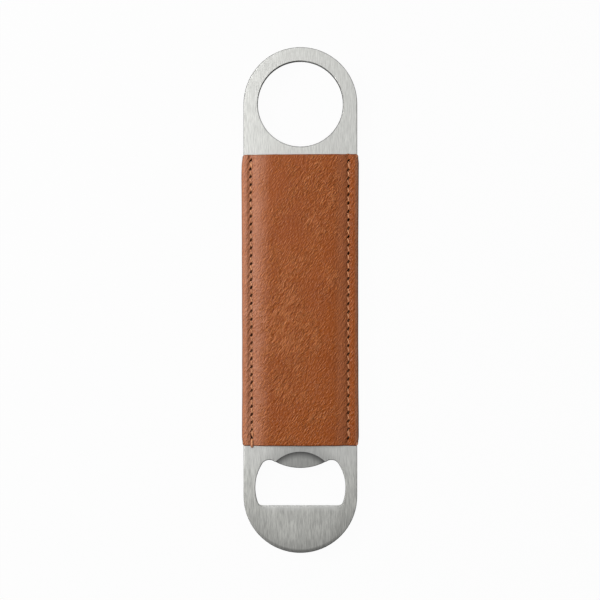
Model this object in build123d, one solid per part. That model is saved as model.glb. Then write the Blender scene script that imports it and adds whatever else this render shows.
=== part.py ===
from build123d import *
import math
import os

# Flat steel bar opener with a stitched leather sleeve round its waist.
#
# Frame: X across the width, Y along the length with the finger ring at +Y and the cap lifter at -Y,
# Z up out of the front face. The origin is the centre of the footprint, at the height of the surface
# that the sleeve's back face rests on.
#
# The blade is one plate. Between its two ends it narrows to a waist. A front and a back leather panel
# cover the waist and meet each other in the two margins beside it, so the sleeve can't slide. Their
# ends are thinned to lie over the four shoulders. Each margin is sewn with a lockstitch: a needle
# thread on the front face and a bobbin thread on the back face, which meet halfway down each slanted
# needle hole.

# ---------------------------------------------------------------- driving dimensions, millimetres

# Steel blade
blade_length = 178.0
blade_width = 40.0
blade_thickness = 2.0
blade_edge_radius = 0.3
ring_hole_radius = 15.0
waist_width = 27.0
waist_corner_radius = 0.5

# Cap mouth: a circle about the mouth's centre, flat at the bottom, with the lifter lip curving into it
mouth_centre_y = -66.1
mouth_radius = 15.9
mouth_floor_y = -72.4
mouth_corner_radius = 1.6
lip_tip_y = -59.2
lip_radius = 19.0
lobe_radius = 3.0

# Coined step on the front of the lip, a circle about the same centre, that thins the lifter
coin_radius = 12.75
coin_depth = 0.8
coin_lip_radius = 0.25

# Leather sleeve, two panels. Heights marked "above middle" are from the blade's middle plane.
sleeve_length = 102.7
sleeve_half_width_middle = 20.4
sleeve_half_width_near_ends = 20.6
sleeve_half_width_at_ends = 20.25
sleeve_taper_length = 3.0
sleeve_corner_radius = 0.8
panel_thickness = 1.4
shoulder_overlap = 1.05
plateau_half_width = 11.5
groove_inner_x = 16.6
groove_outer_x = 17.8
groove_above_middle = 1.3
groove_side_slope = 0.42
welt_crest_x = 19.1
welt_above_middle = 1.45
edge_face_above_middle = 0.25
margin_start_x = 15.6
fit_gap = 0.01
corner_relief = 0.35

# Stitching
thread_diameter = 0.56
seam_x = 17.15
hole_half_run_x = 0.28
hole_half_run_y = 0.42
hole_length = 1.9
hole_width = 0.95
thread_bend_radius = 0.3
turn_share_of_hole_run = 0.6
first_hole_y = 48.85
left_hole_count = 36
left_hole_pitch = 2.784
right_hole_count = 34
right_hole_pitch = 2.95
thread_tail_length = 0.85
thread_tail_drop_start = 0.4

# ---------------------------------------------------------------- worked out from the above

middle_z = blade_thickness / 2 + panel_thickness
end_radius = blade_width / 2
end_centre_y = blade_length / 2 - end_radius
shoulder_y = sleeve_length / 2 - shoulder_overlap
waist_half_width = waist_width / 2
plateau_above_middle = blade_thickness / 2 + panel_thickness
cavity_above_middle = blade_thickness / 2 + fit_gap
thread_run_above_middle = groove_above_middle + thread_diameter / 2 + fit_gap
thread_turn_above_middle = thread_diameter / 2 + fit_gap
thread_tail_above_middle = cavity_above_middle + thread_diameter / 2
hole_angle = math.degrees(math.atan2(hole_half_run_y, hole_half_run_x))


def hole_row(count, pitch):
    """The Y of each needle hole in a seam, from the ring's end to the lifter's end."""
    return [first_hole_y - pitch * i for i in range(count)]


left_holes = hole_row(left_hole_count, left_hole_pitch)
right_holes = hole_row(right_hole_count, right_hole_pitch)


# ---------------------------------------------------------------- blade

def blade_outline():
    """Long slot shape with semicircular ends, narrowed to the waist between the shoulders."""
    outline = SlotOverall(blade_length, blade_width, rotation=90)
    cut_width = end_radius - waist_half_width
    cut_centre_x = waist_half_width + cut_width
    for side in (-1, 1):
        # Twice as wide as the margin, so that the cut runs out past the blade's edge.
        outline -= Pos(side * cut_centre_x, 0) * Rectangle(2 * cut_width, 2 * shoulder_y)
    inner_corners = [
        v for v in outline.vertices()
        if math.isclose(abs(v.X), waist_half_width, abs_tol=1e-3)
    ]
    return fillet(inner_corners, waist_corner_radius)


def mouth_outline():
    """The opening that takes a crown cap: wide side arcs, a flat floor and the convex lifter lip."""
    circle = Pos(0, mouth_centre_y) * Circle(mouth_radius)
    below_floor = Pos(0, mouth_floor_y - mouth_radius) * Rectangle(4 * mouth_radius, 2 * mouth_radius)
    lip = Pos(0, lip_tip_y + lip_radius) * Circle(lip_radius)
    mouth = circle - below_floor - lip
    lobe_corners = mouth.vertices().filter_by(lambda v: v.Y > mouth_centre_y)
    mouth = fillet(lobe_corners, lobe_radius)
    floor_corners = mouth.vertices().filter_by(
        lambda v: math.isclose(v.Y, mouth_floor_y, abs_tol=1e-3)
    )
    return fillet(floor_corners, mouth_corner_radius)


def make_blade():
    """The steel plate, with its ring hole, its mouth, eased edges and the coined lip."""
    face = blade_outline() - Pos(0, end_centre_y) * Circle(ring_hole_radius) - mouth_outline()
    plate = extrude(face, blade_thickness / 2, both=True)
    flat_faces = plate.faces().filter_by(Axis.Z)
    plate = fillet(flat_faces.edges(), blade_edge_radius)
    coin = Pos(0, mouth_centre_y) * Circle(coin_radius)
    # Only the half of the circle on the lip's side of the mouth is coined.
    coin &= Pos(0, mouth_centre_y + coin_radius) * Rectangle(2 * coin_radius, 2 * coin_radius)
    coin_floor = blade_thickness / 2 - coin_depth
    plate -= Pos(0, 0, coin_floor) * extrude(coin, blade_thickness)
    floor_edges = plate.faces().filter_by(Axis.Z).group_by(Axis.Z)[-2].edges()
    lip_edge = floor_edges.sort_by(Axis.Y)[0]
    plate = fillet(lip_edge, coin_lip_radius)
    return Pos(0, 0, middle_z) * plate


# ---------------------------------------------------------------- leather panels

def panel_profile():
    """Half of the front panel's section, as X and height above middle: plateau, slope, groove, welt."""
    plateau_edge = (plateau_half_width, plateau_above_middle)
    groove_start = (groove_inner_x, groove_above_middle)
    groove_end = (groove_outer_x, groove_above_middle)
    welt_crest = (welt_crest_x, welt_above_middle)
    edge_top = (sleeve_half_width_near_ends, edge_face_above_middle)
    level = (1, 0)
    into_groove = (1, -groove_side_slope)
    with BuildSketch() as section:
        with BuildLine():
            Line((0, plateau_above_middle), plateau_edge)
            Spline(plateau_edge, groove_start, tangents=(level, into_groove))
            Line(groove_start, groove_end)
            Spline(groove_end, welt_crest, tangents=(level, level))
            TangentArc(welt_crest, edge_top, tangent=level)
            Polyline(
                edge_top,
                (sleeve_half_width_near_ends, fit_gap),
                (margin_start_x, fit_gap),
                (waist_half_width + 0.1, cavity_above_middle),
                (0, cavity_above_middle),
                (0, plateau_above_middle),
            )
        make_face()
    return section.sketch


def sleeve_outline():
    """The sleeve's plan: sides drawn in a little at the middle, and tapered to small round corners."""
    half_length = sleeve_length / 2
    taper_y = half_length - sleeve_taper_length
    with BuildSketch() as plan:
        with BuildLine():
            for side in (-1, 1):
                near_top = (side * sleeve_half_width_near_ends, taper_y)
                near_bottom = (side * sleeve_half_width_near_ends, -taper_y)
                ThreePointArc(near_top, (side * sleeve_half_width_middle, 0), near_bottom)
                for end in (-1, 1):
                    Line(
                        (side * sleeve_half_width_near_ends, end * taper_y),
                        (side * sleeve_half_width_at_ends, end * half_length),
                    )
            for end in (-1, 1):
                Line(
                    (-sleeve_half_width_at_ends, end * half_length),
                    (sleeve_half_width_at_ends, end * half_length),
                )
        make_face()
        corners = plan.vertices().filter_by(lambda v: abs(v.Y) > taper_y + fit_gap)
        fillet(corners, sleeve_corner_radius)
    return plan.sketch


def needle_holes():
    """One slanted slot for each needle hole, through both panels."""
    slot = SlotOverall(hole_length, hole_width, rotation=hole_angle)
    left = [Pos(-seam_x, y) * slot for y in left_holes]
    right = [Pos(seam_x, y) * slot for y in right_holes]
    return extrude(Sketch(children=left + right), 2 * plateau_above_middle, both=True)


def shoulder_pockets():
    """Pockets in a panel's inner face for the blade's shoulders and the rounded corners below them."""
    length = shoulder_overlap + fit_gap
    over_shoulders = Box(3 * blade_width, 2 * length, 2 * cavity_above_middle)
    corner_width = waist_corner_radius + corner_relief
    corner_x = waist_half_width + corner_width / 2
    corner_y = shoulder_y - waist_corner_radius
    over_corner = Box(corner_width, 2 * corner_width, 2 * cavity_above_middle)
    pockets = [Pos(0, j * sleeve_length / 2, 0) * over_shoulders for j in (-1, 1)]
    pockets += [Pos(i * corner_x, j * corner_y, 0) * over_corner for i in (-1, 1) for j in (-1, 1)]
    return pockets


def make_front_panel():
    """The front panel about the middle plane: its section along Y, trimmed to the sleeve's plan."""
    half = extrude(Plane.XZ * panel_profile(), sleeve_length, both=True)
    whole = half + mirror(half, Plane.YZ)
    whole &= extrude(sleeve_outline(), 2 * plateau_above_middle, both=True)
    whole -= needle_holes()
    for pocket in shoulder_pockets():
        whole -= pocket
    return whole


# ---------------------------------------------------------------- threads

def seam_route(x, holes, with_tail):
    """A needle thread's corners above the middle plane: over the leather, and down to turn in each hole."""
    turn_x = turn_share_of_hole_run * hole_half_run_x
    turn_y = turn_share_of_hole_run * hole_half_run_y
    route = [(x, holes[0], thread_turn_above_middle)]
    for y in holes:
        if y != holes[0]:
            route.append((x + hole_half_run_x, y + hole_half_run_y, thread_run_above_middle))
            route.append((x + turn_x, y + turn_y, thread_turn_above_middle))
        if y != holes[-1] or with_tail:
            route.append((x - turn_x, y - turn_y, thread_turn_above_middle))
            route.append((x - hole_half_run_x, y - hole_half_run_y, thread_run_above_middle))
    if with_tail:
        # The last stitch is sewn off the sleeve's end, and drops onto the steel there.
        end_y = -sleeve_length / 2
        route.append((x, end_y - thread_tail_drop_start, thread_run_above_middle))
        route.append((x, end_y - thread_tail_length, thread_tail_above_middle))
    else:
        route.append((x, holes[-1], thread_turn_above_middle))
    return route


def make_thread(x, holes, with_tail=False):
    """A needle thread about the middle plane, as one round tube along its seam."""
    path = FilletPolyline(*seam_route(x, holes, with_tail), radius=thread_bend_radius)
    section = Plane(path @ 0, z_dir=path % 0) * Circle(thread_diameter / 2)
    return sweep(section, path=path)


# ---------------------------------------------------------------- assembly

def to_front(shape):
    """From the middle plane to the row's frame."""
    return Pos(0, 0, middle_z) * shape


def to_back(shape):
    """The same shape on the other face of the blade."""
    return Pos(0, 0, middle_z) * mirror(shape, Plane.XY)


panel = make_front_panel()
left_needle = make_thread(-seam_x, left_holes, with_tail=True)
left_bobbin = make_thread(-seam_x, left_holes)
right_thread = make_thread(seam_x, right_holes)

nodes = {
    "blade": make_blade(),
    "front_leather_panel": to_front(panel),
    "back_leather_panel": to_back(panel),
    "left_needle_thread": to_front(left_needle),
    "left_bobbin_thread": to_back(left_bobbin),
    "right_needle_thread": to_front(right_thread),
    "right_bobbin_thread": to_back(right_thread),
}

os.makedirs("parts", exist_ok=True)
for name, shape in nodes.items():
    export_step(shape, f"parts/{name}.step")
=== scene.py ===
import math

import bpy
import numpy as np
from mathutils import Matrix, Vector


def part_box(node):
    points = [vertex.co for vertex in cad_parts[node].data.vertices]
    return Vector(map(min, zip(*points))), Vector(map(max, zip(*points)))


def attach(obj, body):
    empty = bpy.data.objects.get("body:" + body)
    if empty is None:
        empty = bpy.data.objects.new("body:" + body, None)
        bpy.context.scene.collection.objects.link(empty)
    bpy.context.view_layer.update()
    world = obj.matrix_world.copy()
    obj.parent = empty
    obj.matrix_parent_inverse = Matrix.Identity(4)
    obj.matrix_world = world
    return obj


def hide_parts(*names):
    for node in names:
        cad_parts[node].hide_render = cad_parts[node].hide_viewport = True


# The looks of a bar-blade bottle opener with a stitched leather sleeve. The steel blade is the frame's
# own node with a brushed material. The two leather panels and the four sewing threads are replaced by
# detailed meshes in the same places. Shapes are worked out in millimetres in the frame's own axes:
# +Y towards the ring, +Z out of the front face.

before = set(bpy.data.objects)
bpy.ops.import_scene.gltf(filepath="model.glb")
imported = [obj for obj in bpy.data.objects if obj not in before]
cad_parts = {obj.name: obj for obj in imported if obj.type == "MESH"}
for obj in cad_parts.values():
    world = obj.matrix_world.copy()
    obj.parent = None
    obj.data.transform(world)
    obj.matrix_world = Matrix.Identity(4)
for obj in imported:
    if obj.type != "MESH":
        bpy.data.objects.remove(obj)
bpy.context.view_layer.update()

MM = 0.001

# ---------------------------------------------------------------- sizes, millimetres

BLADE_LOW, BLADE_HIGH = (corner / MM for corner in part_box("blade"))
SLEEVE_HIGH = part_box("front_leather_panel")[1] / MM
MIDDLE_Z = (BLADE_LOW.z + BLADE_HIGH.z) / 2
HALF_LENGTH = SLEEVE_HIGH.y
HALF_WIDTH = SLEEVE_HIGH.x

# The sleeve's plan
WIDTH_DRAWN_IN = 0.2        # narrower at the middle than near the ends, on each side
END_TAPER = 0.3             # narrower at the ends than near them
TAPER_LENGTH = 3.5
CORNER_RADIUS = 0.9
TOP_SKEW = 0.28             # how much shorter the sleeve is at the top left than at the top right
LEFT_FULLNESS = 0.2         # how much fuller the left side is, fading out towards both ends
WANDER = 0.05               # how unevenly the outline was cut
NICK_X = 16.7               # where the top edge has a small point
NICK = 0.2

# The sleeve's section, as distances from its centre line and heights above the blade's middle plane
PLATEAU = 2.34
PLATEAU_END_X = 10.8
GROOVE_START_X = 16.6
GROOVE_END_X = 17.85
GROOVE = 1.3
SHOULDER_POWER = 2.0        # how late the fall from the plateau to the groove steepens
WELT_X = 18.75
WELT = {"left": 1.47, "right": 1.32}
EDGE_TOP = 0.25
END_ROUNDING = 0.45
CAVITY = 1.02
CAVITY_X = 13.6
MARGIN_X = 15.6
OVERLAP = 1.07              # how far the sleeve's ends lie over the blade's shoulders
SHOULDER_STEP = 0.35        # the length over which the inner face then drops to the other panel
MEETING_GAP = 0.012
MIN_WALL = 0.12

# The leather's relief
RELIEF_FADES = (12.5, 16.0) # the distances from the centre line between which its unevenness fades
PLATEAU_FALL = 0.10         # how much lower the plateau is at its sides than on the centre line
PLATEAU_SWELL = 0.05        # how uneven it is over long distances
CREASE_HEIGHT = 0.022
GRAIN_HEIGHT = 0.006
GRAIN_ANGLE = math.radians(54)      # the creases run from lower left to upper right
FOLD_START_X = -17.2
FOLDS = {
    "front": [
        {"height": 0.10, "centre_y": -6.5, "reach_y": 11, "pitch": 2.785, "seed": 10},
        {"height": 0.05, "centre_y": -38, "reach_y": 12, "pitch": 2.785, "seed": 11},
    ],
    "back": [
        {"height": 0.04, "centre_y": 20, "reach_y": 14, "pitch": 2.7, "seed": 12},
    ],
}

# The seams
HOLE_RUN = Vector((0.24, 0.45))     # from a hole's centre to where the thread passes over its end
SLIT_HALF_LENGTH = 0.68
SLIT_HALF_WIDTH = 0.27
SLIT_FLOOR = 0.06
LINE_DEPTH = 0.13                   # how far a seam draws the leather in along its holes
LIP_HEIGHT = 0.07                   # how far the leather stands up beside a slit
THREAD_RADIUS = 0.178
THREAD_CREST = GROOVE - 0.12        # the height of a stitch's centre line between its two holes
THREAD_TURN = 0.3                   # the height at which a thread turns back in its hole
PLY_TWIST = 3.4                     # the length of one full turn of the plies
PLIES = 3
PLY_DIP = 0.80                      # the thread between two plies, as a share of its radius
PLY_RISE = 0.24                     # how much further out the plies' crowns are
OVERSEWN_RADIUS = 0.92 * THREAD_RADIUS
OVERSEWN_LIFT = 0.08                # how far a doubled stitch lies over the one below it
OVERSEWN_SHIFT = 0.26               # how far it lies beside that one
TROUGH_DEPTH = 0.3                  # the trough that the tail lies in
TROUGH_SHADE = 0.3                  # how far it counts as the inside of a hole
TAIL_RADIUS = 0.40
TAIL_TIP_RADIUS = 0.04              # what is left of the strand past the bead's middle
BEAD_RADIUS = 0.58
BEAD_HEIGHT = 1.435                 # the height of the bead's centre

# side is the sign of X, first is the first hole's Y, and bulge is how much the stitches press the leather
SEAMS = {
    "left": {
        "side": -1, "x_top": -17.45, "x_bottom": -17.0,
        "first": 48.9, "pitch": 2.785, "count": 36, "bulge": 1.0,
    },
    "right": {
        "side": 1, "x_top": 16.95, "x_bottom": 16.9,
        "first": 48.8, "pitch": 2.948, "count": 34, "bulge": 0.75,
    },
}

# The blade's features that its finish follows
COIN_Y = -66.1
COIN_RADIUS = 12.75
COIN_DEPTH = 1.0            # how far below the face its finish still counts as the coined step's
MOUTH_FLOOR_Y = -72.4

PANEL_SEEDS = {"front": 11, "back": 211}
THREAD_SEEDS = {
    "left_needle_thread": 26,
    "left_bobbin_thread": 24,
    "right_needle_thread": 27,
    "right_bobbin_thread": 25,
}


# ---------------------------------------------------------------- curves and noise

def smooth(low, high, value):
    """0 below low, 1 above high, and an even S curve between them."""
    t = np.clip((value - low) / (high - low), 0, 1)
    return t * t * (3 - 2 * t)


def bell(value, centre, width):
    """1 at centre, falling to about a third at width from it."""
    return np.exp(-((value - centre) / width) ** 2)


class Noise:
    """Smooth two-dimensional gradient noise between about -1 and 1, the same each time for one seed."""

    SIZE = 256

    def __init__(self, seed):
        random = np.random.default_rng(seed)
        self.order = random.permutation(self.SIZE)
        angle = random.uniform(0, 2 * math.pi, self.SIZE)
        self.slope_x = np.cos(angle)
        self.slope_y = np.sin(angle)

    def corner(self, column, row, dx, dy):
        """The share of the noise that comes from one corner of a cell, dx and dy away from it."""
        first = self.order[column % self.SIZE]
        pick = self.order[(first + row) % self.SIZE]
        return self.slope_x[pick] * dx + self.slope_y[pick] * dy

    def __call__(self, x, y):
        """The noise at points, whose cells are one unit wide."""
        column = np.floor(x).astype(int)
        row = np.floor(y).astype(int)
        dx = x - column
        dy = y - row
        across = dx ** 3 * (dx * (dx * 6 - 15) + 10)
        up = dy ** 3 * (dy * (dy * 6 - 15) + 10)
        low = self.corner(column, row, dx, dy) * (1 - across)
        low += self.corner(column + 1, row, dx - 1, dy) * across
        high = self.corner(column, row + 1, dx, dy - 1) * (1 - across)
        high += self.corner(column + 1, row + 1, dx - 1, dy - 1) * across
        return 1.5 * (low * (1 - up) + high * up)


def split(stops):
    """Positions from the first stop on: each (end, step) adds a stretch of steps of about that size."""
    values = [stops[0]]
    for end, step in stops[1:]:
        count = max(1, round(abs(end - values[-1]) / step))
        values += list(np.linspace(values[-1], end, count + 1)[1:])
    return np.array(values)


# ---------------------------------------------------------------- seams

def hole_x(seam, y):
    """The seam's own X at a height along it, as it leans a little."""
    share = (y + HALF_LENGTH) / (2 * HALF_LENGTH)
    return seam["x_bottom"] + (seam["x_top"] - seam["x_bottom"]) * share


def hole_ys(seam):
    """The Y of each needle hole, from the ring's end to the lifter's end."""
    return seam["first"] - seam["pitch"] * np.arange(seam["count"])


def from_nearest_hole(seam, x, y):
    """Offsets of points from the nearest needle hole, along the slanted slit and across it."""
    number = np.clip(np.round((seam["first"] - y) / seam["pitch"]), 0, seam["count"] - 1)
    dy = y - (seam["first"] - number * seam["pitch"])
    dx = x - hole_x(seam, y)
    unit = HOLE_RUN.normalized()
    return dx * unit.x + dy * unit.y, dx * unit.y - dy * unit.x


def slit(seam, x, y):
    """1 inside the seam's slits, 0 outside them."""
    along, across = from_nearest_hole(seam, x, y)
    reach = np.hypot(along / SLIT_HALF_LENGTH, across / SLIT_HALF_WIDTH)
    return 1 - smooth(0.7, 1.3, reach)


def last_hole_y(seam):
    """The Y of the needle hole nearest to the lifter's end."""
    return seam["first"] - seam["pitch"] * (seam["count"] - 1)


def tail_trough(x, y):
    """1 in the trough round the left seam's last stitch, which narrows down to the last hole."""
    seam = SEAMS["left"]
    above = y - last_hole_y(seam)
    half_width = 0.40 + 0.30 * np.clip(above / 2.0, 0, 1)
    off = np.abs(x - hole_x(seam, y)) / half_width
    ends = smooth(-0.7, -0.2, above) * (1 - smooth(0.9, 2.0, above))
    return ends * (1 - smooth(0.7, 1.2, off))


# ---------------------------------------------------------------- leather

def section_height(distance, welt):
    """The sleeve's plain section: plateau, slope, groove, welt and the round to its edge."""
    fallen = np.clip((distance - PLATEAU_END_X) / (GROOVE_START_X - PLATEAU_END_X), 0, 1)
    height = PLATEAU + (GROOVE - PLATEAU) * fallen ** SHOULDER_POWER
    height += (welt - GROOVE) * smooth(GROOVE_END_X, WELT_X, distance)
    fall = welt - EDGE_TOP
    width = HALF_WIDTH - WELT_X
    out = np.clip((distance - WELT_X) / width, 0, 1)
    return height - fall * (1 - np.sqrt(np.clip(1 - out ** 2, 0, 1)))


def seam_relief(seam, x, y):
    """How one seam shapes the leather near it: a drawn-in line, bulges between stitches, lips at slits."""
    off = (hole_x(seam, y) - x) * seam["side"]
    phase = 2 * math.pi * (seam["first"] - y) / seam["pitch"]
    along, across = from_nearest_hole(seam, x, y)
    line = -LINE_DEPTH * bell(off, 0, 0.55)
    beside_inside = smooth(0.2, 0.7, off) * (1 - smooth(0.9, 3.2, off))
    beside_outside = smooth(0.2, 0.6, -off) * (1 - smooth(0.6, 2.0, -off))
    inside = 0.050 * np.cos(phase - 1.5 * off) * beside_inside
    outside = 0.055 * np.cos(phase + 2.0 * off + 0.9) * beside_outside
    lips = LIP_HEIGHT * bell(np.abs(across), 0.48, 0.17) * bell(along, 0, 0.55)
    return line + seam["bulge"] * (inside + outside) + lips


def folds_at_seam(x, y, fold, seed):
    """Curved folds that fan out of the left seam where the leather was eased round the blade."""
    noise = Noise(seed + fold["seed"])
    off = x - FOLD_START_X
    bend = 1.9 * np.sqrt(np.clip(off, 0, None)) - 0.16 * off
    phase = 2 * math.pi * (y - bend + 0.9 * noise(x / 3, y / 3)) / fold["pitch"]
    crest = np.clip(np.cos(phase), 0, 1) ** 2.5
    window = smooth(0.2, 1.2, off) * (1 - smooth(1.8, 6.0, off))
    return fold["height"] * window * bell(y, fold["centre_y"], fold["reach_y"]) * crest


def creases(x, y, seed):
    """Wrinkles that cross the leather on a slant: 1 on their narrow ridges and 0 between them."""
    noise = Noise(seed)
    drift = Noise(seed + 1)
    turn = GRAIN_ANGLE + 0.10 * drift(x / 22, y / 22)
    along = x * np.cos(turn) + y * np.sin(turn)
    across = -x * np.sin(turn) + y * np.cos(turn)
    across = across + 0.5 * drift(x / 3.5 + 9, y / 3.5) + 0.22 * drift(x / 1.4, y / 1.4 + 5)
    wave = noise(along / 7.0, across / 1.35)
    fine = noise(along / 4.0 + 31, across / 0.85 + 17)
    return 1 - smooth(0.0, 0.42, np.abs(wave)) + 0.35 * (1 - smooth(0.0, 0.45, np.abs(fine)))


def grain(x, y, seed):
    """Small uneven relief of the hide, drawn out along the creases, between about -1 and 1."""
    noise = Noise(seed)
    along = x * math.cos(GRAIN_ANGLE) + y * math.sin(GRAIN_ANGLE)
    across = -x * math.sin(GRAIN_ANGLE) + y * math.cos(GRAIN_ANGLE)
    return 0.65 * noise(along / 1.5, across / 0.8) + 0.35 * noise(along / 0.8 + 40, across / 0.55)


def crease_map(x, y, seed, front):
    """Where the creases are strong: on the front most left of the middle, then at the upper right."""
    spread = 0.40 + 0.55 * Noise(seed)(x / 7, y / 9)
    if front:
        spread += 0.75 * bell(x, -5, 8) * bell(y, -10, 20)
        spread += 0.45 * bell(x, 7, 6) * bell(y, 38, 14)
    return np.clip(spread, 0.12, 1.25) * (1 - 0.75 * smooth(12.5, 16.4, np.abs(x)))


class Panel:
    """One leather panel's shape. Heights are from the blade's middle plane outwards, on either face."""

    def __init__(self, front, seed):
        self.front = front
        self.seed = seed

    def half_width(self, y, x):
        """The sleeve's half width at a height along it, on the side that x is on."""
        drawn_in = WIDTH_DRAWN_IN * (1 - (y / (HALF_LENGTH - TAPER_LENGTH)) ** 2)
        taper = END_TAPER * smooth(HALF_LENGTH - TAPER_LENGTH, HALF_LENGTH, np.abs(y))
        wander = WANDER * Noise(self.seed + 50)(y / 9, 0 * y)
        fuller = LEFT_FULLNESS * (x < 0) * smooth(-45, 15, y) * (1 - smooth(44, 51, y))
        return HALF_WIDTH - np.clip(drawn_in, 0, 1) - taper + wander + fuller

    def end_y(self, x, end):
        """The Y of the sleeve's top (end 1) or bottom (end -1) edge across its width."""
        wander = WANDER * Noise(self.seed + 60)(x / 6, 0 * x + 7 * end)
        if end < 0:
            return -HALF_LENGTH + WANDER + wander
        nick = NICK * bell(x, NICK_X, 0.5) if self.front else 0
        return HALF_LENGTH - TOP_SKEW * (0.5 - x / (2 * HALF_WIDTH)) + wander + nick

    def plan(self, columns, rows):
        """The grid's X and Y: fitted to the sleeve's outline, with its corners rounded."""
        u, v = np.meshgrid(columns, rows)
        side_in = np.clip(np.abs(u) - (HALF_WIDTH - CORNER_RADIUS), 0, None) / CORNER_RADIUS
        end_in = np.clip(np.abs(v) - (HALF_LENGTH - CORNER_RADIUS), 0, None) / CORNER_RADIUS
        both = np.hypot(side_in, end_in)
        pull = np.where(both > 0, np.maximum(side_in, end_in) / np.where(both > 0, both, 1), 1)
        u = u - np.sign(u) * CORNER_RADIUS * side_in * (1 - pull)
        v = v - np.sign(v) * CORNER_RADIUS * end_in * (1 - pull)
        x = u * self.half_width(v, u) / HALF_WIDTH
        top = self.end_y(x, 1)
        bottom = self.end_y(x, -1)
        y = bottom + (v + HALF_LENGTH) / (2 * HALF_LENGTH) * (top - bottom)
        return x, y

    def edge_distance(self, x, y):
        """How far inside the sleeve's two ends a point is."""
        return np.minimum(self.end_y(x, 1) - y, y - self.end_y(x, -1))

    def floor(self, x, y):
        """The height of the panel's inner face: on the blade, and down to the other panel beside it."""
        slope = np.clip((np.abs(x) - CAVITY_X) / (MARGIN_X - CAVITY_X), 0, 1)
        slope = slope * smooth(OVERLAP, OVERLAP + SHOULDER_STEP, self.edge_distance(x, y))
        return CAVITY + (MEETING_GAP - CAVITY) * slope

    def surface(self, x, y):
        """The height of the outer face, and the marks on it that the material shows."""
        seed = self.seed
        welt = np.where(x < 0, WELT["left"], WELT["right"])
        height = section_height(np.abs(x) * HALF_WIDTH / self.half_width(y, x), welt)
        on_top = 1 - smooth(*RELIEF_FADES, np.abs(x))
        height -= PLATEAU_FALL * (np.abs(x) / PLATEAU_END_X) ** 2 * on_top
        height += PLATEAU_SWELL * Noise(seed)(x / 13, y / 15) * on_top
        pits = np.zeros_like(x)
        for seam in SEAMS.values():
            near = x * seam["side"] > PLATEAU_END_X
            height += near * seam_relief(seam, x, y)
            pits = np.maximum(pits, near * slit(seam, x, y))
        for fold in FOLDS["front" if self.front else "back"]:
            height += folds_at_seam(x, y, fold, seed)
        if self.front:
            trough = tail_trough(x, y)
            height -= TROUGH_DEPTH * trough
            pits = np.maximum(pits, TROUGH_SHADE * trough)
        strong = crease_map(x, y, seed + 20, self.front)
        crease = creases(x, y, seed + 30)
        height += CREASE_HEIGHT * strong * crease
        height += GRAIN_HEIGHT * grain(x, y, seed + 40) * (0.6 + 0.4 * on_top)
        inside = self.edge_distance(x, y)
        rounding = np.clip(1 - inside / END_ROUNDING, 0, 1)
        height -= END_ROUNDING * (1 - np.sqrt(1 - rounding ** 2))
        height += (SLIT_FLOOR - height) * pits
        height = np.maximum(height, self.floor(x, y) + MIN_WALL)
        side_in = self.half_width(y, x) - np.abs(x)
        edge = 1 - smooth(0.05, 0.40, np.minimum(inside, side_in))
        # pale is where a sheen is painted into the leather as paler colour
        pale = self.painted_sheen(x, y)
        marks = {"pit": pits, "crease": strong * crease, "worn": strong, "edge": edge, "pale": pale}
        return height, marks

    def painted_sheen(self, x, y):
        """Where a sheen is painted into the leather as paler colour: along both seams, most at the left
        one, and at its right edge.
        """
        uneven = 1 + 0.25 * Noise(self.seed + 70)(x / 5, y / 7)
        left = 1 - smooth(-16.5, -9.5, x)
        right = smooth(10.5, 15.0, x) * (1 - smooth(16.4, 17.4, x))
        outer = smooth(18.7, 19.9, x)
        return uneven * (left + 0.40 * right + 1.25 * outer)

    def columns(self):
        """The grid's X before it is fitted to the outline: finest at the seams and the edges."""
        half = split([0, (15.9, 0.34), (18.4, 0.12), (20.0, 0.2), (HALF_WIDTH, 0.1)])
        return np.concatenate([-half[:0:-1], half])

    def rows(self):
        """The grid's Y before it is fitted to the outline: finest at the ends."""
        half = split([0, (HALF_LENGTH - 0.6, 0.18), (HALF_LENGTH, 0.1)])
        return np.concatenate([-half[:0:-1], half])


class MeshMaker:
    """Collects points, faces and a few values for each point, and makes one Blender mesh of them."""

    def __init__(self):
        self.points = []
        self.faces = []
        self.values = {}

    def add(self, points, **values):
        """Adds points, N by 3 in millimetres, with a value each, and returns the first one's number."""
        start = len(self.points)
        self.points += [tuple(p) for p in points]
        for name in sorted(set(values) | set(self.values)):
            held = self.values.setdefault(name, [0.0] * start)
            held += list(values.get(name, [0.0] * len(points)))
        return start

    def build(self, name, material):
        """Puts the mesh into the scene as one object, with the values as attributes of its points."""
        mesh = bpy.data.meshes.new(name)
        mesh.from_pydata([Vector(p) * MM for p in self.points], [], self.faces)
        mesh.validate()
        for key, held in self.values.items():
            attribute = mesh.attributes.new(key, "FLOAT", "POINT")
            attribute.data.foreach_set("value", np.array(held, np.float32))
        mesh.shade_smooth()
        mesh.materials.append(material)
        obj = bpy.data.objects.new(name, mesh)
        bpy.context.scene.collection.objects.link(obj)
        return obj


def border(columns, rows):
    """The (row, column) places round the edge of a grid, anticlockwise from its lowest corner."""
    places = [(0, i) for i in range(columns)]
    places += [(j, columns - 1) for j in range(1, rows)]
    places += [(rows - 1, i) for i in range(columns - 2, -1, -1)]
    places += [(j, 0) for j in range(rows - 2, 0, -1)]
    return places


def coarse_places(values, wanted, step):
    """A coarse grid's places in a fine one: the ends, each step, and nearest to each wanted value."""
    places = set(range(0, len(values), step)) | {len(values) - 1}
    for value in wanted:
        nearest = int(np.argmin(np.abs(values - value)))
        places.add(nearest)
    return sorted(places)


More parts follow.
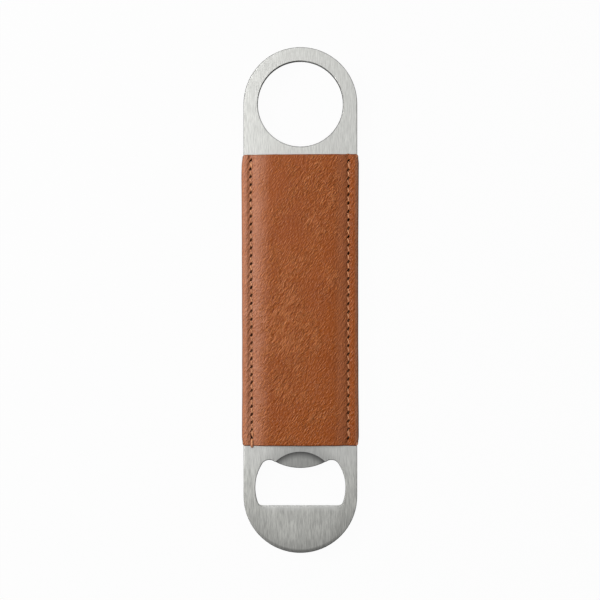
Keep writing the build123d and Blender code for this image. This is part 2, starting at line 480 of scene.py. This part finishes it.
def make_panel(name, flip, seed, material):
    """A closed panel: the fine outer face, a wall round its outline, and a plain inner face.
    flip is 1 on the front, and -1 on the back, where heights run the other way."""
    panel = Panel(flip > 0, seed)
    columns, rows = panel.columns(), panel.rows()
    x, y = panel.plan(columns, rows)
    height, marks = panel.surface(x, y)
    count_y, count_x = x.shape

    def placed(px, py, pz):
        """Points of the panel in the frame's axes."""
        return np.column_stack([np.ravel(px), np.ravel(py), MIDDLE_Z + flip * np.ravel(pz)])

    maker = MeshMaker()
    maker.add(placed(x, y, height), **{key: value.ravel() for key, value in marks.items()})

    def face(corners):
        """Adds a face whose corners run anticlockwise from the front, turned round on the back."""
        maker.faces.append(tuple(corners) if flip > 0 else tuple(reversed(corners)))

    for j in range(count_y - 1):
        for i in range(count_x - 1):
            a = j * count_x + i
            face((a, a + 1, a + count_x + 1, a + count_x))

    # The wall round the outline
    ring = border(count_x, count_y)
    ring_x = np.array([x[p] for p in ring])
    ring_y = np.array([y[p] for p in ring])
    ring_top = np.array([height[p] for p in ring])
    ring_floor = panel.floor(ring_x, ring_y)
    loops = [[j * count_x + i for j, i in ring]]
    for share in (0.5, 1.0):
        low = ring_top + (ring_floor - ring_top) * share
        start = maker.add(placed(ring_x, ring_y, low), edge=np.ones(len(ring)))
        loops.append(list(range(start, start + len(ring))))
    for upper, lower in zip(loops, loops[1:]):
        for k in range(len(ring)):
            n = (k + 1) % len(ring)
            face((upper[k], lower[k], lower[n], upper[n]))

    # The inner face, on a coarser grid that keeps its bends
    bends = (-MARGIN_X, -CAVITY_X, CAVITY_X, MARGIN_X)
    coarse_i = coarse_places(x[count_y // 2], bends, 12)
    shoulder = HALF_LENGTH - OVERLAP
    steps = (-shoulder, -shoulder + SHOULDER_STEP, shoulder - SHOULDER_STEP, shoulder)
    coarse_j = coarse_places(rows, steps, 16)
    number = {place: loops[-1][k] for k, place in enumerate(ring)}
    inner = [(j, i) for j in coarse_j for i in coarse_i if (j, i) not in number]
    start = maker.add(placed(
        [x[p] for p in inner],
        [y[p] for p in inner],
        [panel.floor(x[p], y[p]) for p in inner],
    ))
    number.update({place: start + k for k, place in enumerate(inner)})
    for j0, j1 in zip(coarse_j, coarse_j[1:]):
        for i0, i1 in zip(coarse_i, coarse_i[1:]):
            walk = [(j0, i) for i in range(i0, i1)]
            walk += [(j, i1) for j in range(j0, j1)]
            walk += [(j1, i) for i in range(i1, i0, -1)]
            walk += [(j, i0) for j in range(j1, j0, -1)]
            face([number[p] for p in reversed(walk) if p in number])
    return maker.build(name, material)


# ---------------------------------------------------------------- threads

def ply_tube(maker, path, radius, phase=0.0):
    """Adds a closed twisted thread along a path of points in millimetres, of one radius or one a point."""
    around = 15
    angle = np.arange(around) * 2 * math.pi / around
    path = np.array(path, float)
    radii = np.broadcast_to(radius, len(path))
    steps = np.diff(path, axis=0)
    lengths = np.linalg.norm(steps, axis=1)
    travelled = np.concatenate([[0], np.cumsum(lengths)])
    tangents = np.gradient(path, travelled, axis=0)
    tangents /= np.linalg.norm(tangents, axis=1)[:, None]
    side = np.cross(tangents[0], (0.3, 0.1, 1.0))
    rings = []
    for point, tangent, length, size in zip(path, tangents, travelled, radii):
        side = side - tangent * (side @ tangent)
        side /= np.linalg.norm(side)
        other = np.cross(tangent, side)
        turned = angle - phase - 2 * math.pi * length / PLY_TWIST
        lobes = np.abs(np.cos(PLIES / 2 * turned))
        r = size * (PLY_DIP + PLY_RISE * lobes)
        ring = point + np.outer(r * np.cos(angle), side) + np.outer(r * np.sin(angle), other)
        # Only the sealed bead is thicker than the tail
        sealed = np.full(around, float(size > TAIL_RADIUS + 0.01))
        start = maker.add(ring, crown=lobes, sealed=sealed)
        rings.append(start)
    for a, b in zip(rings, rings[1:]):
        for k in range(around):
            n = (k + 1) % around
            maker.faces.append((a + k, a + n, b + n, b + k))
    maker.faces.append(tuple(rings[0] + k for k in reversed(range(around))))
    maker.faces.append(tuple(rings[-1] + k for k in range(around)))


def stitch(start, end, crest, low, shift):
    """A stitch's path from slit to slit: up out of one, flat over the leather and down into the next."""
    samples = 22
    squareness = (0.55, 0.5)            # below 1, they fill out the half round to a flat-topped one
    start, end = np.array(start, float), np.array(end, float)
    middle = (start + end) / 2
    half = (end - start) / 2
    aside = np.array([-half[1], half[0]]) / np.linalg.norm(half)
    path = []
    for t in np.linspace(math.pi, 0, samples):
        reach = math.copysign(abs(math.cos(t)) ** squareness[0], math.cos(t))
        rise = math.sin(t) ** squareness[1] if math.sin(t) > 1e-9 else 0.0
        x, y = middle + half * reach + aside * shift * rise
        path.append((x, y, low + (crest - low) * rise))
    return path


def thread_path(points, wobble):
    """A thread's whole path through its holes. Each stitch starts and ends a little past its hole."""
    past = np.array(HOLE_RUN) * 1.2
    path = []
    for k in range(len(points) - 1):
        crest = THREAD_CREST + 0.03 * wobble[k]
        shift = 0.06 * wobble[-k - 1]
        path += stitch(points[k] - past, points[k + 1] + past, crest, THREAD_TURN, shift)
    return path


def make_thread(name, seam, flip, seed, material):
    """One sewing thread on one face, with doubled stitches where the seam was started and ended.
    flip is 1 on the front, and -1 on the back, where heights run the other way."""
    maker = MeshMaker()
    random = np.random.default_rng(seed)
    off_pitch = 0.04
    ys = hole_ys(seam) + random.uniform(-off_pitch, off_pitch, seam["count"])
    points = [np.array([hole_x(seam, y), y]) for y in ys]
    wobble = random.uniform(-1, 1, seam["count"])
    run = np.array(HOLE_RUN)

    def placed(path):
        """A path in the frame's axes."""
        return [(px, py, MIDDLE_Z + flip * pz) for px, py, pz in path]

    ply_tube(maker, placed(thread_path(points, wobble)), THREAD_RADIUS)
    for a, b in ((0, 1), (-2, -1)):
        start = points[a] - run * 0.5
        end = points[b] + run * 0.7
        over = stitch(start, end, THREAD_CREST + OVERSEWN_LIFT, THREAD_TURN + 0.2, OVERSEWN_SHIFT)
        ply_tube(maker, placed(over), OVERSEWN_RADIUS, phase=1.0)
    if seam is SEAMS["left"] and flip > 0:
        path, radii = tail(points[-1])
        ply_tube(maker, placed(path), radii, phase=0.5)
    return maker.build(name, material)


def tail(hole):
    """The left seam's end on the front: over the sleeve's edge to a bead where the thread was sealed."""
    edge = -HALF_LENGTH
    start = hole[1] - 0.35              # inside the last hole's slit
    end = edge - BEAD_RADIUS
    crest = THREAD_CREST + 0.05
    lean = 0.12                         # how far it leans to the right on its way down
    path = []
    radii = []
    for y in np.linspace(start, end, 34):
        share = (start - y) / (start - end)
        rise = smooth(0.0, 0.22, share)
        fall = smooth(edge + 0.5, end, y)
        z = THREAD_TURN + (crest - THREAD_TURN) * rise + (BEAD_HEIGHT - crest) * fall
        path.append((hole[0] - lean / 2 + lean * share, y, z))
        strand = TAIL_RADIUS if y > end + BEAD_RADIUS else TAIL_TIP_RADIUS
        bead = np.clip(1 - ((y - end - BEAD_RADIUS) / BEAD_RADIUS) ** 2, 0, 1)
        radii.append(max(strand, BEAD_RADIUS * math.sqrt(bead)))
    return path, np.array(radii)


# ---------------------------------------------------------------- materials

class Nodes:
    """A node tree with short ways to add and join nodes."""

    def __init__(self, tree):
        self.tree = tree
        self.tree.nodes.clear()

    def add(self, kind, inputs=None, **settings):
        """A new node, with each input joined to a socket or set to a plain value."""
        node = self.tree.nodes.new(kind)
        for key, value in settings.items():
            setattr(node, key, value)
        for key, value in (inputs or {}).items():
            if isinstance(value, bpy.types.NodeSocket):
                self.tree.links.new(value, node.inputs[key])
            else:
                node.inputs[key].default_value = value
        return node

    def math(self, operation, a, b=0.0):
        """One operation on one or two numbers."""
        return self.add("ShaderNodeMath", {0: a, 1: b}, operation=operation).outputs[0]

    def times(self, a, b):
        """The product of two numbers."""
        return self.math("MULTIPLY", a, b)

    def span(self, value, low, high, to_low=0.0, to_high=1.0):
        """to_low below low, to_high above high, and an even S curve between them."""
        inputs = {"Value": value, "From Min": low, "From Max": high, "To Min": to_low, "To Max": to_high}
        return self.add("ShaderNodeMapRange", inputs, interpolation_type="SMOOTHSTEP").outputs["Result"]

    def mix(self, share, a, b):
        """Colour a at share 0 and colour b at share 1."""
        return self.add("ShaderNodeMix", {0: share, 6: a, 7: b}, data_type="RGBA").outputs[2]

    def zone(self, value, low, high, to_low=0.0, to_high=1.0):
        """A span whose low and high are in millimetres."""
        return self.span(value, low * MM, high * MM, to_low, to_high)

    def noise(self, vector, scale, detail=2.0, roughness=0.5, distortion=0.0):
        """Noise between about 0.2 and 0.8, with scale cells to the metre."""
        inputs = {
            "Vector": vector, "Scale": scale, "Detail": detail,
            "Roughness": roughness, "Distortion": distortion,
        }
        return self.add("ShaderNodeTexNoise", inputs).outputs["Fac"]

    def place(self):
        """Where a point is in the object's own axes, in metres."""
        return self.add("ShaderNodeTexCoord").outputs["Object"]

    def mapped(self, vector, **how):
        """The vector scaled, turned and shifted, as far as each is given."""
        inputs = {"Vector": vector}
        inputs.update({key.capitalize(): value for key, value in how.items()})
        return self.add("ShaderNodeMapping", inputs).outputs["Vector"]

    def attribute(self, name):
        """A value that the mesh holds for each point."""
        return self.add("ShaderNodeAttribute", attribute_name=name).outputs["Fac"]


def new_material(name):
    """A new material and its empty node tree."""
    material = bpy.data.materials.new(name)
    material.use_nodes = True
    return material, Nodes(material.node_tree)


def leather_material():
    """Waxed tan leather: fine slanted grain with painted lit and shaded flanks and painted shade between
    its pebbles, a sheen painted in as paler colour beside the seams, scuffed on ridges, dark at its edges,
    and painted shade in its holes.
    """
    tan = ((0.169, 0.0350, 0.0010, 1), (0.184, 0.0400, 0.0014, 1))
    # A sheen painted in as paler colour, most beside the left seam
    painted_sheen = (0.322, 0.160, 0.101, 1)
    # The colour of the painted shade in the grooves between the pebbles
    groove = (0.078, 0.013, 0.001, 1)
    shaded_side = (0.080, 0.012, 0.001, 1)
    lit_side = (0.330, 0.105, 0.024, 1)
    scuffed = (0.340, 0.120, 0.040, 1)
    burnished = (0.060, 0.016, 0.010, 1)
    # The colour of the painted shade inside the needle holes
    painted_hole_shade = (0.010, 0.004, 0.002, 1)

    material, n = new_material("tan_leather")
    slanted = n.mapped(n.place(), rotation=(0, 0, -GRAIN_ANGLE))
    hatched = n.mapped(slanted, scale=(0.36, 1, 1))
    worn = n.attribute("worn")

    # The grain's strokes, each with a lit flank and a shaded one
    strokes = 2500.0
    hatch = n.noise(hatched, strokes, detail=1.0)
    beside = n.mapped(hatched, location=(0, 0.20 * MM, 0))
    flank = n.math("SUBTRACT", hatch, n.noise(beside, strokes, detail=1.0))
    # The painted lit and shaded flanks are strongest where the creases are
    flank = n.times(flank, n.span(worn, 0.0, 0.9, 0.55, 0.95))

    # The pebbles between the grain's grooves
    inputs = {"Vector": n.mapped(slanted, scale=(0.5, 1, 1)), "Scale": 1700.0}
    cells = n.add("ShaderNodeTexVoronoi", inputs, feature="DISTANCE_TO_EDGE")
    pebble = n.span(cells.outputs["Distance"], 0.0, 0.35)

    # Thin scuffed ridges where the creases are strong
    drawn_out = n.mapped(slanted, scale=(0.22, 1, 1))
    wave = n.noise(drawn_out, 1000.0, distortion=0.7)
    off_wave = n.math("ABSOLUTE", n.math("SUBTRACT", wave, 0.5))
    ridge = n.times(n.span(off_wave, 0.0, 0.045, 1.0, 0.0), n.span(worn, 0.15, 0.9))

    patches = n.noise(n.place(), 75.0, detail=1.0)
    colour = n.mix(n.span(patches, 0.32, 0.70), *tan)
    # Painted sheen: paler colour beside the seams, most at the left one
    colour = n.mix(n.times(n.attribute("pale"), 0.44), colour, painted_sheen)
    # Painted shade in the grooves between the pebbles
    colour = n.mix(n.span(pebble, 0.0, 0.55, 0.24, 0.0), colour, groove)
    colour = n.mix(n.span(flank, -0.22, -0.01, 0.70, 0.0), colour, shaded_side)
    colour = n.mix(n.span(flank, 0.01, 0.22, 0.0, 0.70), colour, lit_side)
    high = n.math("MAXIMUM", ridge, n.span(n.attribute("crease"), 0.4, 1.3, 0.0, 0.6))
    colour = n.mix(n.times(high, 0.62), colour, scuffed)
    flecks = n.noise(hatched, 1300.0, detail=3.0, roughness=0.6)
    uneven = n.times(n.math("SUBTRACT", flecks, 0.5), 0.35)
    rough_edge = n.math("ADD", n.attribute("edge"), uneven)
    colour = n.mix(n.span(rough_edge, 0.25, 0.95, 0.0, 0.80), colour, burnished)
    pit = n.attribute("pit")
    # Painted shade inside the needle holes and the tail's trough
    colour = n.mix(n.span(pit, 0.10, 0.55), colour, painted_hole_shade)

    relief = n.math("ADD", n.times(hatch, 0.9), n.times(pebble, 0.20))
    relief = n.math("ADD", relief, ridge)
    bump = n.add("ShaderNodeBump", {"Height": relief, "Strength": 1.0, "Distance": 0.19 * MM})
    shader = n.add("ShaderNodeBsdfPrincipled", {
        "Base Color": colour,
        "Roughness": n.math("MAXIMUM", n.span(hatch, 0.3, 0.7, 0.43, 0.31), pit),
        "Specular IOR Level": 0.21,
        "Normal": bump.outputs["Normal"],
    })
    n.add("ShaderNodeOutputMaterial", {"Surface": shader.outputs["BSDF"]})
    return material


def thread_material():
    """Waxed polyester thread, with painted shade between its plies, darker where it was sealed, and with
    fine fibres.
    """
    plain = ((0.34, 0.135, 0.055, 1), (0.45, 0.205, 0.090, 1))
    painted_ply_shade = (0.11, 0.033, 0.012, 1)
    melted = (0.13, 0.045, 0.018, 1)

    material, n = new_material("waxed_thread")
    patches = n.noise(n.place(), 300.0)
    colour = n.mix(n.span(patches, 0.35, 0.65), *plain)
    # Painted shade in the crevices between the plies
    colour = n.mix(n.span(n.attribute("crown"), 0.0, 0.55, 0.72, 0.0), colour, painted_ply_shade)
    colour = n.mix(n.times(n.attribute("sealed"), 0.7), colour, melted)
    fibres = n.noise(n.mapped(n.place(), scale=(1, 0.25, 1)), 9000.0)
    bump = n.add("ShaderNodeBump", {"Height": fibres, "Strength": 0.35, "Distance": 0.03 * MM})
    shader = n.add("ShaderNodeBsdfPrincipled", {
        "Base Color": colour,
        "Roughness": 0.5,
        "Specular IOR Level": 0.4,
        "Sheen Weight": 0.15,
        "Normal": bump.outputs["Normal"],
    })
    n.add("ShaderNodeOutputMaterial", {"Surface": shader.outputs["BSDF"]})
    return material


def coin_shades(n, parts, away):
    """How much painted shade falls in the coined step, darkest at its arc, and the fainter painted shade
    round it above the mouth.
    """
    top = BLADE_HIGH.z
    in_circle = n.zone(away, COIN_RADIUS, COIN_RADIUS + 0.05, 1.0, 0.0)
    under_face = n.zone(parts["Z"], top - 0.15, top - 0.02, 1.0, 0.0)
    over_floor = n.zone(parts["Z"], top - COIN_DEPTH - 0.2, top - COIN_DEPTH)
    in_coin = n.times(n.times(in_circle, under_face), over_floor)
    painted_coin_shade = n.times(in_coin, n.zone(away, COIN_RADIUS - 3, COIN_RADIUS, 0.46, 0.90))
    above_mouth = n.zone(parts["Y"], COIN_Y + 3, COIN_Y + 9)
    painted_shade_round_coin = n.zone(away, COIN_RADIUS, COIN_RADIUS + 6, 0.30, 0.0)
    painted_shade_round_coin = n.times(painted_shade_round_coin, n.math("SUBTRACT", 1.0, in_coin))
    return painted_coin_shade, n.times(painted_shade_round_coin, above_mouth)


def lifter_rim(n, parts, away):
    """How much painted shade the blade gets towards the round of the lifter's end, most on the lip at its
    tip.
    """
    end = BLADE_LOW.y
    radius = BLADE_HIGH.x
    rim = n.zone(away, radius - 8, radius, 0.06, 0.34)
    painted_lip_shade = n.zone(away, radius - 2, radius - 0.6, 0.15, 0.76)
    at_tip = n.zone(parts["Y"], end, end + 10, 1.0, 0.45)
    rim = n.math("MAXIMUM", rim, n.times(painted_lip_shade, at_tip))
    return n.times(rim, n.zone(parts["Y"], end + 9, end + radius, 1.0, 0.0))


def under_mouth(n, parts):
    """How much painted highlight the blade gets in the narrow band just under the mouth's floor."""
    band = n.zone(parts["Y"], MOUTH_FLOOR_Y - 2.4, MOUTH_FLOOR_Y, 0.0, 0.75)
    in_middle = n.zone(n.math("ABSOLUTE", parts["X"]), 11, 15, 1.0, 0.0)
    below = n.zone(parts["Y"], MOUTH_FLOOR_Y, MOUTH_FLOOR_Y + 0.5, 1.0, 0.0)
    return n.times(n.times(band, in_middle), below)


def painted_edge_shade(n, parts):
    """Where the surface is an edge or a rounded corner, and how much painted shade it gets for the way that
    it faces.
    """
    normal = n.add("ShaderNodeNewGeometry").outputs["True Normal"]
    facing = n.add("ShaderNodeSeparateXYZ", {"Vector": normal}).outputs
    on_edge = n.span(n.math("ABSOLUTE", facing["Z"]), 0.985, 0.9995, 1.0, 0.0)
    ring_end = n.zone(parts["Y"], -HALF_LENGTH, HALF_LENGTH)
    sideways = n.span(facing["X"], -0.3, 0.3, 0.78, 0.28)
    sideways = n.times(sideways, n.span(ring_end, 0.0, 1.0, 0.5, 1.0))
    towards_ring = n.times(n.span(facing["Y"], 0.3, 0.7, 0.0, 0.78), ring_end)
    towards_lifter = n.span(facing["Y"], -0.40, 0.0, 1.0, 0.0)
    towards_lifter = n.times(towards_lifter, n.span(ring_end, 0.0, 1.0, 0.92, 0.72))
    edge_shade_share = n.math("MAXIMUM", sideways, n.math("MAXIMUM", towards_ring, towards_lifter))
    return on_edge, edge_shade_share


def steel_material():
    """Steel brushed along the blade, with painted shade in the coined step, round the lifter's end and on
    its edges, and painted light beside the sleeve and under the mouth."""
    furrows = ((0.595, 0.598, 0.570, 1), (0.568, 0.570, 0.540, 1))
    crests = ((0.805, 0.808, 0.775, 1), (0.836, 0.838, 0.792, 1))
    clouded = (0.52, 0.52, 0.50, 1)
    painted_reflection_light = (0.93, 0.93, 0.91, 1)
    painted_mouth_highlight = (0.90, 0.90, 0.88, 1)
    # The colour of the painted shades on the blade
    dark = (0.10, 0.10, 0.098, 1)

    material, n = new_material("brushed_steel")
    place = n.place()
    parts = n.add("ShaderNodeSeparateXYZ", {"Vector": place}).outputs
    flat = n.add("ShaderNodeVectorMath", {0: place, 1: (1, 1, 0)}, operation="MULTIPLY").outputs[0]

    def distance_from(y):
        """The distance across the blade from a point of its centre line."""
        node = n.add("ShaderNodeVectorMath", {0: flat, 1: (0, y * MM, 0)}, operation="DISTANCE")
        return node.outputs["Value"]

    hair_place = n.mapped(place, scale=(1, 0.07, 0.3))
    hair = n.noise(hair_place, 3900.0, detail=3.0, roughness=0.6)
    streak_place = n.mapped(place, scale=(1, 0.10, 0.3), location=(3, 0, 0))
    streak = n.noise(streak_place, 900.0, roughness=0.6)
    tone = n.math("ADD", n.times(hair, 0.88), n.times(streak, 0.12))
    lifter_end = n.zone(parts["Y"], -HALF_LENGTH - 22, -HALF_LENGTH, 1.0, 0.0)
    colour = n.mix(n.span(tone, 0.37, 0.63), n.mix(lifter_end, *furrows), n.mix(lifter_end, *crests))
    cloud = n.noise(n.mapped(place, scale=(1, 0.3, 1)), 160.0)
    colour = n.mix(n.span(cloud, 0.3, 0.7, 0.0, 0.06), colour, clouded)

    # Painted light: the blade is painted lighter above the lifter's end, most just below the sleeve,
    # standing in for a brighter reflection
    past_sleeve = n.zone(parts["Y"], -HALF_LENGTH - 12, -HALF_LENGTH - 2)
    lightness = n.zone(parts["Y"], -HALF_LENGTH, HALF_LENGTH, 0.36, 0.13)
    colour = n.mix(n.times(past_sleeve, lightness), colour, painted_reflection_light)
    painted_coin_shade, painted_shade_round_coin = coin_shades(n, parts, distance_from(COIN_Y))
    # Painted shade in the coined step, darkest at its arc
    colour = n.mix(painted_coin_shade, colour, dark)
    # The fainter painted shade round the coined step, above the mouth
    colour = n.mix(painted_shade_round_coin, colour, dark)
    rim = lifter_rim(n, parts, distance_from(BLADE_LOW.y + BLADE_HIGH.x))
    # Painted shade towards the round of the lifter's end
    colour = n.mix(rim, colour, dark)
    # Painted highlight just under the mouth's floor
    colour = n.mix(under_mouth(n, parts), colour, painted_mouth_highlight)
    on_edge, edge_shade_share = painted_edge_shade(n, parts)
    # Painted shade on the blade's edges, set by the way each faces
    colour = n.mix(n.times(on_edge, edge_shade_share), colour, dark)

    roughness = n.math("MAXIMUM", n.span(streak, 0.3, 0.7, 0.32, 0.40), n.times(on_edge, 0.7))
    bump = n.add("ShaderNodeBump", {"Height": tone, "Strength": 0.15, "Distance": 0.02 * MM})
    along_blade = n.add("ShaderNodeCombineXYZ", {"Y": 1.0}).outputs["Vector"]
    shader = n.add("ShaderNodeBsdfPrincipled", {
        "Base Color": colour,
        "Metallic": 1.0,
        "Roughness": roughness,
        "Anisotropic": 0.75,
        "Tangent": along_blade,
        "Normal": bump.outputs["Normal"],
    })
    n.add("ShaderNodeOutputMaterial", {"Surface": shader.outputs["BSDF"]})
    return material


# ---------------------------------------------------------------- studio

def make_camera():
    """Straight down on the front face, with the ring at the top of the picture."""
    distance = 500 * MM
    seen_width = 211.05 * MM
    aside = -0.14 * MM
    data = bpy.data.cameras.new("camera")
    data.sensor_width = 36.0
    data.lens = data.sensor_width * distance / seen_width
    data.clip_start = 0.01
    camera = bpy.data.objects.new("camera", data)
    camera.location = (aside, 0, BLADE_HIGH.z * MM + distance)
    bpy.context.scene.collection.objects.link(camera)
    bpy.context.scene.camera = camera


def make_world():
    """A soft tent: bright towards the ring, dimmer towards the lifter and low down all round."""
    world = bpy.data.worlds.new("tent")
    bpy.context.scene.world = world
    world.use_nodes = True
    n = Nodes(world.node_tree)
    way = n.add("ShaderNodeTexCoord").outputs["Generated"]
    bright_way = Vector((-0.14, 0.99, 0.0)).normalized()
    lean = n.add("ShaderNodeVectorMath", {0: way, 1: bright_way}, operation="DOT_PRODUCT").outputs["Value"]
    up = n.add("ShaderNodeSeparateXYZ", {"Vector": way}).outputs["Z"]
    overhead = n.span(lean, -0.20, 0.12, 0.19, 1.28)
    low_down = n.span(lean, -0.20, 0.50, 0.06, 0.80)
    strength = n.times(overhead, n.span(up, 0.0, 0.7, low_down, 1.0))
    background = n.add("ShaderNodeBackground", {"Strength": strength})
    n.add("ShaderNodeOutputWorld", {"Surface": background.outputs["Background"]})


def make_light(name, place, size, watts, shows_in_gloss):
    """A soft rectangular light, size wide and high, that faces the object's middle."""
    data = bpy.data.lights.new(name, "AREA")
    data.shape = "RECTANGLE"
    data.size, data.size_y = size
    data.energy = watts
    light = bpy.data.objects.new(name, data)
    light.location = place
    light.rotation_mode = "QUATERNION"
    light.rotation_quaternion = Vector(place).to_track_quat("Z", "Y")
    light.visible_glossy = shows_in_gloss
    bpy.context.scene.collection.objects.link(light)


def make_floor():
    """A pale floor that gives off a little light, so that shadows on it stay faint."""
    half = 6.0
    mesh = bpy.data.meshes.new("floor")
    corners = [(-half, -half, 0), (half, -half, 0), (half, half, 0), (-half, half, 0)]
    mesh.from_pydata(corners, [], [(0, 1, 2, 3)])
    floor = bpy.data.objects.new("floor", mesh)
    floor.location.z = -0.02 * MM
    floor.visible_glossy = False
    bpy.context.scene.collection.objects.link(floor)
    material, n = new_material("pale_floor")
    diffuse = n.add("ShaderNodeBsdfDiffuse", {"Color": (0.008, 0.008, 0.008, 1)})
    glow = n.add("ShaderNodeEmission", {"Color": (1, 1, 1, 1), "Strength": 0.968})
    both = n.add("ShaderNodeAddShader", {0: diffuse.outputs["BSDF"], 1: glow.outputs["Emission"]})
    n.add("ShaderNodeOutputMaterial", {"Surface": both.outputs["Shader"]})
    mesh.materials.append(material)


# ---------------------------------------------------------------- putting it together

make_camera()
make_world()
make_light("key", (-0.72, 0.30, 0.38), (0.20, 0.20), 7.0, shows_in_gloss=False)
make_light("left_card", (-0.32, 0.14, 0.38), (0.33, 0.52), 2.9, shows_in_gloss=True)
make_floor()

view = bpy.context.scene.view_settings
view.view_transform = "Standard"
view.look = "None"

steel = steel_material()
leather = leather_material()
thread = thread_material()

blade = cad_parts["blade"]
blade.data.materials.clear()
blade.data.materials.append(steel)

for side, flip in (("front", 1), ("back", -1)):
    name = f"{side}_leather_panel"
    piece = make_panel(name + "_skin", flip, PANEL_SEEDS[side], leather)
    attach(piece, "root")
    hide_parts(name)

for side, seam in SEAMS.items():
    for kind, flip in (("needle", 1), ("bobbin", -1)):
        name = f"{side}_{kind}_thread"
        piece = make_thread(name + "_plies", seam, flip, THREAD_SEEDS[name], thread)
        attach(piece, "root")
        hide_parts(name)
